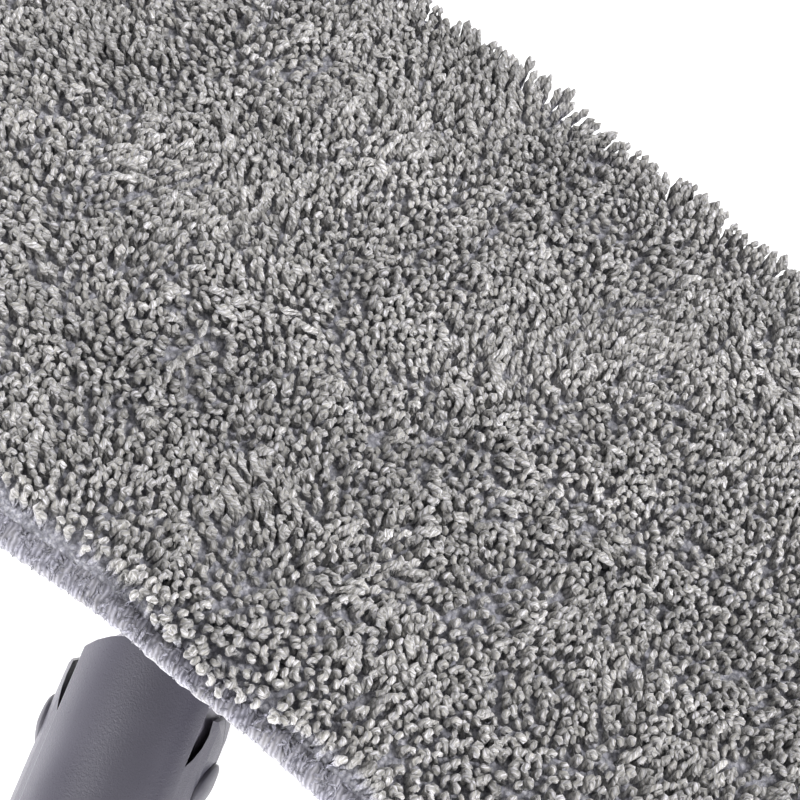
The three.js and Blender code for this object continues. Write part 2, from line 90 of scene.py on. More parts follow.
# ---- meshes ----
def make_piece(name, points, corners, sides, materials, body, slot, uv=None, **values):
    """A smooth mesh from whole arrays: points, each face's corners in turn, and its number of sides."""
    mesh = bpy.data.meshes.new(name)
    mesh.vertices.add(len(points))
    mesh.vertices.foreach_set("co", np.ascontiguousarray(points, np.float32).ravel())
    mesh.loops.add(len(corners))
    mesh.loops.foreach_set("vertex_index", np.ascontiguousarray(corners, np.int32))
    mesh.polygons.add(len(sides))
    starts = np.concatenate([[0], np.cumsum(sides)[:-1]]).astype(np.int32)
    mesh.polygons.foreach_set("loop_start", starts)
    mesh.polygons.foreach_set("use_smooth", np.ones(len(sides), bool))
    if uv is not None:
        layer = mesh.uv_layers.new(name="Thread")
        layer.data.foreach_set("uv", np.ascontiguousarray(uv, np.float32).ravel())
    for key, value in values.items():
        attribute = mesh.attributes.new(key, "FLOAT", "POINT")
        attribute.data.foreach_set("value", np.ascontiguousarray(value, np.float32).ravel())
    mesh.update(calc_edges=True)
    for material in materials:
        mesh.materials.append(material)
    piece = bpy.data.objects.new(name, mesh)
    bpy.context.scene.collection.objects.link(piece)
    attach(piece, body)
    return piece


def unit(vectors):
    """Each vector divided by its own length."""
    return vectors / np.maximum(np.linalg.norm(vectors, axis=-1, keepdims=True), 1e-12)


def threads(paths, radii, hints, sides, twist_length):
    """Tubes along many paths at once, with a ring of points at each place, turned to that place's hint.

    paths is (threads, places, 3) and radii is (threads, places). The UV map holds the length run so far,
    divided by the length of one twist, and the share of the way round.
    """
    count, places = paths.shape[:2]
    tangents = unit(np.gradient(paths, axis=1))
    first = unit(hints - (hints * tangents).sum(-1, keepdims=True) * tangents)
    second = np.cross(tangents, first)
    angle = np.arange(sides) / sides * TURN
    ring = first[:, :, None] * np.cos(angle)[:, None] + second[:, :, None] * np.sin(angle)[:, None]
    points = paths[:, :, None] + radii[:, :, None, None] * ring

    j, k = np.meshgrid(np.arange(places - 1), np.arange(sides), indexing="ij")
    j1, k1 = j + 1, (k + 1) % sides
    quads = np.stack([j * sides + k, j * sides + k1, j1 * sides + k1, j1 * sides + k], -1).reshape(-1, 4)
    base = np.arange(count)[:, None] * places * sides
    corners = base + quads.reshape(1, -1)
    start_cap = base + np.arange(sides)[::-1]
    end_cap = base + (places - 1) * sides + np.arange(sides)
    corners = np.concatenate([corners, start_cap, end_cap], 1)
    counts = np.concatenate([np.full((count, len(quads)), 4), np.full((count, 2), sides)], 1)

    steps = np.linalg.norm(np.diff(paths, axis=1), axis=2)
    run = np.concatenate([np.zeros((count, 1)), np.cumsum(steps, 1)], 1) / twist_length
    jj = np.stack([j, j, j1, j1], -1).reshape(-1)
    kk = np.stack([k, k + 1, k + 1, k], -1).reshape(-1)
    uv = np.stack([run[:, jj], np.broadcast_to(kk / sides, (count, len(kk)))], -1)
    cap_uv = np.zeros((count, sides, 2))
    end_uv = cap_uv + np.stack([run[:, -1:], np.zeros((count, 1))], -1)
    uv = np.concatenate([uv, cap_uv, end_uv], 1)
    return points.reshape(-1, 3), corners.ravel(), counts.ravel(), uv.reshape(-1, 2)


def waves(x, y, size, seed, count=18):
    """Smooth noise from about -1 to 1: sine waves in many directions, about size across, added up."""
    chance = np.random.default_rng(seed)
    total = np.zeros(np.broadcast(x, y).shape)
    for _ in range(count):
        heading = chance.uniform(0, TURN)
        number = TURN / size * chance.uniform(0.5, 1.4)
        total += np.sin(number * (x * math.cos(heading) + y * math.sin(heading)) + chance.uniform(0, TURN))
    return total / math.sqrt(count / 2)


def gather(values, low, high):
    """An ease from 0 at low to 1 at high: the square of the share, times three less twice the share."""
    t = np.clip((values - low) / (high - low), 0, 1)
    return t * t * (3 - 2 * t)


# ---- the pad's outline ----
def edge_distance(across, along):
    """How far inside the pad's rounded outline a point is."""
    corner = PAD_CORNER
    dx = np.abs(across) - (PAD_WIDTH / 2 - corner)
    dy = np.abs(along) - (PAD_LENGTH / 2 - corner)
    outside = np.hypot(np.maximum(dx, 0), np.maximum(dy, 0))
    return corner - outside - np.minimum(np.maximum(dx, dy), 0)


def outline(count):
    """Even steps round the outline: place across and along, the outward direction, and the distance run."""
    straight_x = PAD_WIDTH / 2 - PAD_CORNER
    straight_y = PAD_LENGTH / 2 - PAD_CORNER
    arc = PAD_CORNER * TURN / 4
    parts = [2 * straight_y, arc, 2 * straight_x, arc, 2 * straight_y, arc, 2 * straight_x, arc]
    total = sum(parts)
    run = np.arange(count) / count * total
    ends = np.cumsum(parts)
    which = np.searchsorted(ends, run, side="right")
    into = run - np.concatenate([[0], ends])[which]
    quarter = which // 2
    turned = np.where(which % 2 == 1, into / PAD_CORNER, 0) + quarter * TURN / 4
    normal = np.stack([np.cos(turned), np.sin(turned)], -1)
    centres = np.array([[1, -1], [1, 1], [-1, 1], [-1, -1]]) * [straight_x, straight_y]
    on_arc = which % 2 == 1
    start = centres[quarter]
    heading = np.stack([-np.sin(quarter * TURN / 4), np.cos(quarter * TURN / 4)], -1)
    straight = start + PAD_CORNER * normal + heading * into[:, None]
    curved = centres[(quarter + 1) % 4] + PAD_CORNER * normal
    place = np.where(on_arc[:, None], curved, straight)
    return place, normal, run, total


# ---- materials ----
class Finish:
    """A node material under construction: short calls that add a node and join it up."""

    def __init__(self, name, **sockets):
        self.material = bpy.data.materials.new(name)
        self.material.use_nodes = True
        self.tree = self.material.node_tree
        self.shader = self.tree.nodes["Principled BSDF"]
        for key, value in sockets.items():
            self.shader.inputs[key.replace("_", " ")].default_value = value

    def join(self, source, target):
        self.tree.links.new(source, target)

    def node(self, kind, inputs=None, **settings):
        made = self.tree.nodes.new(kind)
        for key, value in settings.items():
            setattr(made, key, value)
        for key, value in (inputs or {}).items():
            if isinstance(value, bpy.types.NodeSocket):
                self.join(value, made.inputs[key])
            else:
                made.inputs[key].default_value = value
        return made

    def place(self, scale=(1, 1, 1), turn=(0, 0, 0)):
        """Object coordinates, turned and scaled."""
        where = self.node("ShaderNodeTexCoord").outputs["Object"]
        made = self.node("ShaderNodeMapping", {"Vector": where, "Scale": scale, "Rotation": turn})
        return made.outputs["Vector"]

    def noise(self, where, scale, detail=2.0, rough=0.5):
        inputs = {"Vector": where, "Scale": scale, "Detail": detail, "Roughness": rough}
        made = self.node("ShaderNodeTexNoise", inputs)
        return made.outputs["Fac"]

    def cells(self, where, scale, feature="F1"):
        made = self.node("ShaderNodeTexVoronoi", {"Vector": where, "Scale": scale}, feature=feature)
        return made.outputs["Distance"]

    def math(self, operation, first, second=0.0, third=0.0):
        return self.node("ShaderNodeMath", {0: first, 1: second, 2: third}, operation=operation).outputs[0]

    def ramp(self, value, low, high, to_low=0.0, to_high=1.0):
        made = self.node(
            "ShaderNodeMapRange",
            {"Value": value, "From Min": low, "From Max": high, "To Min": to_low, "To Max": to_high},
        )
        return made.outputs["Result"]

    def blend(self, share, first, second, kind="MIX"):
        made = self.node("ShaderNodeMix", data_type="RGBA", blend_type=kind)
        for key, value in (("Factor_Float", share), ("A_Color", first), ("B_Color", second)):
            socket = next(s for s in made.inputs if s.identifier == key)
            if isinstance(value, bpy.types.NodeSocket):
                self.join(value, socket)
            else:
                socket.default_value = value
        return next(s for s in made.outputs if s.identifier == "Result_Color")

    def value(self, name):
        return self.node("ShaderNodeAttribute", attribute_name=name).outputs["Fac"]

    def bump(self, height, depth, strength=1.0, under=None):
        inputs = {"Height": height, "Distance": depth, "Strength": strength}
        if under is not None:
            inputs["Normal"] = under
        return self.node("ShaderNodeBump", inputs).outputs["Normal"]

    def colour(self, socket):
        self.join(socket, self.shader.inputs["Base Color"])
        return self

    def rough(self, socket):
        self.join(socket, self.shader.inputs["Roughness"])
        return self

    def normal(self, socket):
        self.join(socket, self.shader.inputs["Normal"])
        return self


def shade(r, g, b):
    """An opaque colour."""
    return (r, g, b, 1.0)


def yarn_finish(name, deep_painted_fill, body, tip, twist=2.0, groove_shade_share=0.45):
    """Twisted microfibre yarn: plies wound round it, fine fibres along them, and a colour that changes with rise: a
    lighter lilac low colour that is partly painted fill light, a painted highlight along the fibre streaks near the
    tip, and painted shade in the grooves between the plies.
    """
    f = Finish(name, Roughness=0.62, Specular_IOR_Level=0.4, Sheen_Weight=0.45, Sheen_Roughness=0.35)
    uv = f.node("ShaderNodeUVMap", uv_map="Thread").outputs["UV"]
    split = f.node("ShaderNodeSeparateXYZ", {"Vector": uv})
    along, round_ = split.outputs["X"], split.outputs["Y"]
    phase = f.math("MULTIPLY", f.math("MULTIPLY_ADD", round_, twist, along), TURN)
    ply = f.math("MULTIPLY_ADD", f.math("SINE", phase), 0.5, 0.5)
    groove = f.ramp(ply, 0.0, 0.45)
    tint = f.value("tint")
    fibre_place = f.node("ShaderNodeCombineXYZ", {
        "X": f.math("MULTIPLY", along, 1.2),
        "Y": f.math("MULTIPLY_ADD", round_, 9.0, f.math("MULTIPLY", along, 4.5)),
        "Z": f.math("MULTIPLY", tint, 50.0),
    })
    fibres = f.noise(fibre_place.outputs[0], 1.6, 3.0, 0.65)
    rise = f.value("rise")
    # Low on the loops the colour is lighter than the body: the base threads' lilac, lightened as painted fill light
    # against the real shade between the loops.
    base = f.blend(f.ramp(rise, 0.35, 0.80), deep_painted_fill, body)
    # Painted highlight: the pale tip colour along the fibre streaks towards the top of each loop, and on the hem
    # threads.
    base = f.blend(f.math("MULTIPLY", f.ramp(rise, 0.60, 0.95), f.ramp(fibres, 0.48, 0.66)), base, tip)
    # Painted shade: the grooves between the plies are darkened almost to black.
    dark_share = f.math("MULTIPLY", f.math("SUBTRACT", 1.0, groove), groove_shade_share)
    groove_shaded = f.blend(dark_share, base, shade(0.02, 0.02, 0.024))
    grey = f.node("ShaderNodeCombineColor", {"Red": tint, "Green": tint, "Blue": tint})
    f.colour(f.blend(1.0, groove_shaded, grey.outputs[0], "MULTIPLY"))
    f.rough(f.ramp(fibres, 0.3, 0.7, 0.5, 0.85))
    plies = f.bump(ply, 0.00016, 0.8)
    f.normal(f.bump(fibres, 0.00006, 0.8, plies))
    return f.material


# ---- pile: rows of small twisted loops ----
LOOP_PITCH = 0.00148
LOOP_LENGTH = 0.0063
LOOP_ROOT = GROUND_TOP - 0.0003
YARN_RADIUS = 0.00043
LOOP_EYE = 0.00040
LOOP_SIDES = 5
LOOP_PIECES = 10
LOOP_STATIONS = np.array([0.0, 0.66, 0.93, 1.0, 0.93, 0.66, 0.0])
LOOP_WIDTHS = np.array([-0.7, -0.95, -0.85, 0.0, 0.85, 0.95, 0.7])
LOOP_THICKNESS = np.array([0.8, 1.0, 1.05, 1.0, 1.05, 1.0, 0.8])
LOOP_WINDING = 5.2
YARN_TWIST = 0.0011


def loop_roots(chance):
    """Rows along the pad, every second one half a step on, each root a little off its place."""
    row_gap = LOOP_PITCH * 0.88
    rows = np.arange(-PAD_WIDTH / 2, PAD_WIDTH / 2, row_gap)
    steps = np.arange(-PAD_LENGTH / 2, PAD_LENGTH / 2, LOOP_PITCH)
    x, y = np.meshgrid(rows, steps, indexing="ij")
    y = y + (np.arange(len(rows)) % 2)[:, None] * LOOP_PITCH / 2
    x, y = x.ravel(), y.ravel()
    x = x + chance.normal(0, 0.13 * LOOP_PITCH, len(x)) + 0.0005 * waves(x, y, 0.014, 3)
    y = y + chance.normal(0, 0.13 * LOOP_PITCH, len(y)) + 0.0005 * waves(x, y, 0.014, 4)
    near = gather(x, -0.03, 0.03)
    keep = edge_distance(x, y) > HEM_WIDTH - 0.0010 + 0.0009 * near
    return x[keep], y[keep]


def loop_lean(x, y, chance):
    """How far each tip leans across and along: two sizes of swirl, chance, and outwards at the pad's edge."""

    def swirl(slow_seed, fine_seed):
        swirls = 0.0008 * waves(x, y, 0.034, slow_seed) + 0.0004 * waves(x, y, 0.009, fine_seed)
        return swirls + chance.normal(0, 0.00028, len(x))

    across, along = swirl(11, 12), swirl(13, 14)
    step = 0.0005
    inside = edge_distance(x, y)
    slope_x = (edge_distance(x + step, y) - inside) / step
    slope_y = (edge_distance(x, y + step) - inside) / step
    near = gather(x, -0.03, 0.03)
    outwards = (0.0018 - 0.0006 * near) * (1 - gather(inside, HEM_WIDTH, 0.013))
    return across - slope_x * outwards, along - slope_y * outwards


def bent(a, b, c, t):
    """A curve from a to c drawn towards b, at shares t: the square of (1 - t), twice t (1 - t), and t squared."""
    t = t[:, None]
    return a[:, None] * (1 - t) ** 2 + b[:, None] * (2 * t * (1 - t)) + c[:, None] * t**2


def pile_loops():
    """Each loop is a bent stem, with two legs that wind round it and meet over its tip. Some lie down."""
    chance = np.random.default_rng(27)
    x, y = loop_roots(chance)
    count = len(x)
    lean_x, lean_y = loop_lean(x, y, chance)
    lying = chance.random(count) < 0.04 + 0.24 * gather(waves(x, y, 0.035, 21), 0.4, 1.6)
    lying &= edge_distance(x, y) > 0.011
    length = LOOP_LENGTH * (1 + 0.05 * waves(x, y, 0.016, 22) + chance.normal(0, 0.055, count))
    heading = np.arctan2(lean_y, lean_x) + chance.normal(0, 0.35, count)
    reach = np.hypot(lean_x, lean_y)
    reach = np.where(lying, reach + chance.uniform(0.0016, 0.0034, count), reach)
    rise = np.where(lying, length * 1.03, np.sqrt(np.maximum(length**2 - reach**2, (0.6 * length) ** 2)))
    lean = np.stack([np.cos(heading) * reach, np.sin(heading) * reach, np.zeros(count)], -1)
    up = np.array([0, 0, 1.0])
    root = np.stack([x, y, np.full(count, LOOP_ROOT)], -1)
    knee_rise = rise * np.where(lying, 1.02, 0.62)
    knee_lean = np.where(lying, 0.12, 0.22)
    knee = root + up * knee_rise[:, None] + lean * knee_lean[:, None]
    tip = root + up * rise[:, None] + lean
    stem = bent(root, knee, tip, LOOP_STATIONS)
    t = LOOP_STATIONS[:, None]
    towards = unit(2 * (1 - t) * (knee - root)[:, None] + 2 * t * (tip - knee)[:, None])
    side = np.stack([-np.sin(heading), np.cos(heading), np.zeros(count)], -1)
    side = side[:, None] * np.ones((1, len(LOOP_STATIONS), 1))
    side = unit(side - (side * towards).sum(-1, keepdims=True) * towards)
    other = np.cross(towards, side)
    wind_start = chance.uniform(0, TURN, count)[:, None]
    winding = chance.uniform(0.8, 1.3, count)[:, None] * LOOP_WINDING
    wind = wind_start + winding * (1 - LOOP_STATIONS)
    eye = LOOP_EYE * chance.uniform(0.8, 1.25, count) * np.where(lying, 0.9, 1.0)
    spread = (eye[:, None] * LOOP_WIDTHS)[..., None]
    sideways = side * np.cos(wind)[..., None] + other * np.sin(wind)[..., None]
    drop = np.array([0, 0, -0.00004, 0.00006, -0.00004, 0, 0])[:, None]
    paths = stem + spread * sideways + towards * drop
    hints = -side * np.sin(wind)[..., None] + other * np.cos(wind)[..., None]
    radii = YARN_RADIUS * chance.uniform(0.86, 1.16, count)[:, None] * LOOP_THICKNESS
    tint = chance.normal(1.0, 0.16, count)
    tint = tint + 0.06 * waves(x, y, 0.02, 31) + 0.07 * waves(x, y * 0.4, 0.05, 32) + 0.10 * lying
    return paths, radii, hints, np.clip(tint, 0.6, 1.4)


def make_pile(finish):
    """The loops, shared out along the pad into LOOP_PIECES pieces."""
    paths, radii, hints, tint = pile_loops()
    order = np.argsort(paths[:, 0, 1], kind="stable")
    pieces = []
    for number, share in enumerate(np.array_split(order, LOOP_PIECES)):
        points, corners, sides, uv = threads(paths[share], radii[share], hints[share], LOOP_SIDES, YARN_TWIST)
        rise = np.clip((points[:, 2] - GROUND_TOP) / -GROUND_TOP, 0, 1)
        placed = pad_points(points[:, 0], points[:, 1], points[:, 2])
        ring = len(points) // len(share)
        pieces.append(make_piece(
            f"pile_loops_{number + 1}", placed, corners, sides, [finish], "head", "pile_yarn", uv,
            tint=np.repeat(tint[share], ring), rise=rise,
        ))
    return pieces


# ---- cloth under the pile, padding behind it, and the sewn edge ----
HEM_STEPS = 1500
STITCH_STEP = 0.00146
EDGE_INSET = 0.0013
HEM_MIDDLE = -0.0070
HEM_HALF = 0.00140
SPINE_HALF = 0.135
SPINE_STEP = SPINE_HALF / 80
SHELL_INSET = 0.0006
SHELL_STEPS = 600
CURLS = 4400


def edge_wander(run):
    """The cut edge wanders a little, with one soft bulge near the neck, as run goes round the pad."""
    slow = 0.00030 * np.sin(run / 0.0105) + 0.00020 * np.sin(run / 0.0047 + 1.3)
    bulge = 0.0019 * np.exp(-(((run - 0.132) / 0.019) ** 2))
    return slow + bulge - EDGE_INSET


def shell(profile, name, finish, slot, weave=0.0):
    """A flat rounded body, closed along the pad's spine: its section is carried round the outline.

    The section's points are the share of the way out from the spine, and the height. Places on the spine are
    rounded to SPINE_STEP, so that its two sides meet.
    """
    place, normal, run, total = outline(SHELL_STEPS)
    spine_along = np.clip(place[:, 1], -SPINE_HALF, SPINE_HALF)
    spine_along = np.round(spine_along / SPINE_STEP) * SPINE_STEP
    spine = np.stack([np.zeros(len(place)), spine_along], -1)
    share, height = np.array([p[0] for p in profile]), np.array([p[1] for p in profile])
    edge = place + normal * (edge_wander(run) - SHELL_INSET)[:, None]
    flat = spine[:, None] + (edge - spine)[:, None] * share[None, :, None]
    out = np.broadcast_to(height, flat.shape[:2]) + weave * waves(flat[..., 0], flat[..., 1], 0.03, 41)
    points = pad_points(flat[..., 0], flat[..., 1], out)
    rows, columns = points.shape[:2]
    i, j = np.meshgrid(np.arange(rows), np.arange(columns - 1), indexing="ij")
    i1 = (i + 1) % rows
    near, far = i * columns + j, i1 * columns + j
    quads = np.stack([near, near + 1, far + 1, far], -1).reshape(-1, 4)
    uv = (flat * 100).reshape(-1, 2)[quads.ravel()]
    sides = np.full(len(quads), 4)
    piece = make_piece(name, points.reshape(-1, 3), quads.ravel(), sides, [finish], "head", slot, uv)
    close_seam(piece)
    return piece


def smoothed(node, sharp=math.radians(32), round_edge=0.0):
    """A copy of a CAD node with its triangles joined, round faces shaded smooth and corners left crisp."""
    source = nodes[node]
    mesh = source.data.copy()
    work = bmesh.new()
    work.from_mesh(mesh)
    bmesh.ops.remove_doubles(work, verts=work.verts, dist=1e-6)
    work.to_mesh(mesh)
    work.free()
    mesh.polygons.foreach_set("use_smooth", np.ones(len(mesh.polygons), bool))
    mesh.set_sharp_from_angle(angle=sharp)
    piece = bpy.data.objects.new("smooth_" + node, mesh)
    bpy.context.scene.collection.objects.link(piece)
    if round_edge:
        bevel = piece.modifiers.new("rounded edges", "BEVEL")
        bevel.width = round_edge
        bevel.segments = 2
        bevel.limit_method = "ANGLE"
        bevel.angle_limit = sharp
        bevel.harden_normals = True
    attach(piece, body_of[node])
    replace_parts(piece, node)
    return piece


NECK_RADIUS = 0.0145
BUTTON_RADIUS = 0.00475
SKIRT_END = 0.0130


def release_button(side):
    """A button's smooth cap: a disc bent to the neck's curve, proud towards the head, with a skirt.

    Rings run from the middle out; past the rim they turn down into the pocket and close underneath.
    """
    low = np.array(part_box("release_button_" + side)[0]) - SWING_PIN
    sign = 1 if side == "left" else -1
    half = BUTTON_RADIUS
    middle = low[0] + half
    share = np.concatenate([np.linspace(0, 0.86, 9), [0.92, 0.965, 0.99, 1.0, 1.0, 1.0]])
    skirt = np.array([0] * 12 + [0, 0.4, 1.0])
    turned = np.arange(48) / 48 * TURN
    x = middle + half * share[:, None] * np.cos(turned)
    z = half * share[:, None] * np.sin(turned)
    proud = 0.00105 * (1 - gather(x, middle - 0.001, middle + half * 1.05)) - 0.00005
    dome = (1 - share**9)[:, None] * 0.00055 - 0.00055
    out = np.sqrt((NECK_RADIUS + proud + dome) ** 2 - z**2)
    out = out + (SKIRT_END - out) * skirt[:, None]
    points = np.stack([SWING_PIN[0] + x, SWING_PIN[1] + sign * out, SWING_PIN[2] + z], -1)
    rings, around = x.shape
    i, j = np.meshgrid(np.arange(rings - 1), np.arange(around), indexing="ij")
    j1 = (j + 1) % around
    inner, outer = i * around, (i + 1) * around
    quads = np.stack([inner + j, inner + j1, outer + j1, outer + j], -1).reshape(-1)
    under = (rings - 1) * around + np.arange(around)
    corners = np.concatenate([quads, under])
    sides = np.concatenate([np.full((rings - 1) * around, 4), [around]])
    node = "release_button_" + side
    cap = make_piece(
        "button_cap_" + side, points.reshape(-1, 3), corners, sides,
        [finishes["button"]], body_of[node], slot_of[node],
    )
    close_seam(cap)
    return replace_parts(cap, node)


def close_seam(piece):
    """Merges the doubled points where a surface meets itself, and turns its faces outwards."""
    work = bmesh.new()
    work.from_mesh(piece.data)
    bmesh.ops.remove_doubles(work, verts=work.verts, dist=2e-6)
    bmesh.ops.dissolve_degenerate(work, dist=1e-7, edges=work.edges)
    bmesh.ops.recalc_face_normals(work, faces=work.faces)
    work.to_mesh(piece.data)
    work.free()


def make_hem(finish):
    """A thick sewn band: a round-edged section carried round the outline, pinched and pitted by its stitches."""
    place, normal, run, total = outline(HEM_STEPS)
    turned = np.arange(18) / 18 * TURN
    stitch = TURN * run / STITCH_STEP
    swell = 1 + 0.05 * np.cos(stitch / 2) + 0.03 * waves(run * 0, run, 0.006, 51)
    half_width = HEM_WIDTH / 2 * swell
    half_height = HEM_HALF * (1 + 0.10 * np.cos(stitch / 2 + 0.6))
    outwards = np.sign(np.cos(turned)) * np.abs(np.cos(turned)) ** 0.8
    upwards = np.sign(np.sin(turned)) * np.abs(np.sin(turned)) ** 0.8
    middle = edge_wander(run) - HEM_WIDTH / 2
    off = middle[:, None] + half_width[:, None] * outwards
    height = HEM_MIDDLE + half_height[:, None] * upwards
    lumps = 0.00018 * waves(run[:, None] * 1.0, turned[None] * 0.0022, 0.0016, 52)
    height = height + lumps * (upwards > -0.5)
    flat = place[:, None] + normal[:, None] * off[..., None]
    points = pad_points(flat[..., 0], flat[..., 1], height)
    rows, columns = points.shape[:2]
    i, j = np.meshgrid(np.arange(rows), np.arange(columns), indexing="ij")
    i1, j1 = (i + 1) % rows, (j + 1) % columns
    here, there = i * columns, i1 * columns
    quads = np.stack([here + j, there + j, there + j1, here + j1], -1).reshape(-1, 4)
    ii = np.stack([i, i + 1, i + 1, i], -1).reshape(-1)
    jj = np.stack([j, j, j + 1, j + 1], -1).reshape(-1)
    uv = np.stack([ii * total / HEM_STEPS / STITCH_STEP, jj / columns * 8.0], -1)
    # The needle pits, which the hem finish bumps down and darkens with painted shade.
    pit_row = np.exp(-(((outwards - 0.55) / 0.28) ** 2))
    pit = np.maximum(0, np.cos(stitch / 2))[:, None] ** 6 * pit_row * (upwards > 0)
    sides = np.full(len(quads), 4)
    return make_piece(
        "pad_hem_band", points.reshape(-1, 3), quads.ravel(), sides, [finish], "head", "hem_thread", uv, pit=pit,
    )


def make_hem_stitches(finish):
    """Overlock thread: each one crosses the band from its inner line, turns over the edge and comes back."""
    place, normal, run, total = outline(int(1.0 / STITCH_STEP) // 2 * 2)
    count = len(place)
    chance = np.random.default_rng(61)
    tangent = np.stack([-normal[:, 1], normal[:, 0]], -1)
    share = np.linspace(0, 1, 11)
    turned = np.interp(share, [0, 0.42, 0.58, 1], [math.pi * 0.93, 0.42, -0.42, -math.pi * 0.93])
    outwards = np.sign(np.cos(turned)) * np.abs(np.cos(turned)) ** 0.8
    upwards = np.sign(np.sin(turned)) * np.abs(np.sin(turned)) ** 0.8
    off = edge_wander(run)[:, None] - HEM_WIDTH / 2 + (HEM_WIDTH / 2 - 0.00002) * outwards
    height = HEM_MIDDLE + (HEM_HALF + 0.00006) * upwards + chance.normal(0, 0.00004, (count, 1))
    drift = STITCH_STEP * (0.9 * share + 0.25 * np.sin(share * TURN)) + chance.normal(0, 0.00010, (count, 1))
    flat = place[:, None] + normal[:, None] * off[..., None] + tangent[:, None] * drift[..., None]
    paths = np.concatenate([flat, height[..., None]], -1)
    outward = np.concatenate([normal, normal[:, :1] * 0], -1)
    hints = np.broadcast_to(np.array([0, 0, 1.0]), paths.shape) + 0.3 * outward[:, None]
    radii = np.broadcast_to(0.00015 * chance.uniform(0.7, 1.3, (count, 1)), paths.shape[:2])
    points, corners, sides, uv = threads(paths, radii, hints, 5, 0.0006)
    placed = pad_points(points[:, 0], points[:, 1], points[:, 2])
    tint = np.repeat(np.clip(chance.normal(1.0, 0.10, count), 0.6, 1.4), len(points) // count)
    return make_piece(
        "pad_hem_stitches", placed, corners, sides, [finish], "head", "hem_thread", uv,
        tint=tint, rise=np.ones(len(points)),
    )


def make_hem_fuzz(finish):
    """Short curls of loose thread over the sewn band, each a small arch."""
    chance = np.random.default_rng(71)
    count = CURLS
    place, normal, run, total = outline(count)
    tangent = np.stack([-normal[:, 1], normal[:, 0]], -1)
    off = edge_wander(run) - HEM_WIDTH * chance.uniform(0.04, 1.15, count)
    heading = chance.uniform(0, TURN, count)
    reach = chance.uniform(0.0004, 0.0010, count)
    share = np.linspace(-1, 1, 5)
    centre = place + normal * off[:, None] + tangent * chance.normal(0, 0.0003, count)[:, None]
    half_curl = np.stack([np.cos(heading), np.sin(heading)], -1) * reach[:, None]
    flat = centre[:, None] + half_curl[:, None] * share[:, None]
    across = np.clip((off - edge_wander(run)) / HEM_WIDTH * 2 + 1, -1, 1)
    top = HEM_MIDDLE + HEM_HALF * np.sqrt(np.maximum(1 - np.abs(across) ** 2.5, 0.02))
    arch = chance.uniform(0.0001, 0.0005, count)[:, None] * (1 - share**2)
    height = top[:, None] + arch - 0.0001
    paths = np.concatenate([flat, height[..., None]], -1)
    side = np.stack([-np.sin(heading), np.cos(heading), 0 * heading], -1)
    hints = np.broadcast_to(side[:, None], paths.shape)
    radii = chance.uniform(0.00014, 0.00026, count)[:, None] * np.array([0.7, 1, 1.1, 1, 0.7])
    points, corners, sides, uv = threads(paths, radii, hints, 4, 0.0007)
    placed = pad_points(points[:, 0], points[:, 1], points[:, 2])
    tint = np.repeat(np.clip(chance.normal(1.0, 0.13, count), 0.6, 1.4), len(points) // count)
    return make_piece(
        "pad_hem_curls", placed, corners, sides, [finish], "head", "hem_thread", uv,
        tint=tint, rise=np.ones(len(points)),
    )


def cloth_finish(name, low, high, rib=0.0009, depth=0.00012):
    """Fine knitted cloth: offset ribs with a stitch along each, soft fuzz, and slow changes of colour; each stitch
    is painted pale on its crest and dark between, as painted light and shade.
    """
    f = Finish(name, Roughness=0.85, Sheen_Weight=0.3, Sheen_Roughness=0.5, Specular_IOR_Level=0.25)
    uv = f.node("ShaderNodeUVMap", uv_map="Thread").outputs["UV"]
    split = f.node("ShaderNodeSeparateXYZ", {"Vector": uv})
    number = TURN / (rib * 100)
    a = f.math("SINE", f.math("MULTIPLY", split.outputs["X"], number))
    b = f.math("SINE", f.math("MULTIPLY", split.outputs["Y"], number * 0.8))
    stitches = f.math("MULTIPLY_ADD", f.math("MULTIPLY", a, b), 0.5, 0.5)
    fuzz = f.noise(f.place(), 2600, 3.0, 0.6)
    slow = f.noise(f.place(), 45, 2.0)
    # Painted light and shade: the stitch crests take the high colour and the hollows between them the low one.
    base = f.blend(f.math("MULTIPLY", stitches, f.ramp(fuzz, 0.3, 0.7, 0.6, 1.0)), low, high)
    f.colour(f.blend(f.ramp(slow, 0.35, 0.65, 0.0, 0.25), base, low))
    f.normal(f.bump(fuzz, 0.00005, 0.6, f.bump(stitches, depth, 0.8)))
    return f.material


def under_pile_finish():
    """The crowd of yarn below the tips: lumps the size of a thread, with fibres, lilac greys lighter than the loops
    as painted fill light, and painted shade in the dark chinks between them.
    """
    f = Finish("Crowded yarn under the tips", Roughness=0.8, Sheen_Weight=0.3, Sheen_Roughness=0.5)
    lumps = f.cells(f.place(), 1100)
    fibres = f.noise(f.place(), 2600, 4.0, 0.7)
    # Lilac greys lighter than the loops' yarn: painted fill light for the shade under the tips.
    base = f.blend(f.ramp(fibres, 0.42, 0.6), shade(0.26, 0.26, 0.31), shade(0.52, 0.51, 0.55))
    # Painted shade: the chinks between the lumps are darkened.
    f.colour(f.blend(f.ramp(lumps, 0.3, 0.7, 0.0, 0.7), base, shade(0.10, 0.10, 0.12)))
    f.normal(f.bump(fibres, 0.0002, 1.0, f.bump(f.math("SUBTRACT", 1.0, lumps), 0.0008, 1.0)))
    return f.material


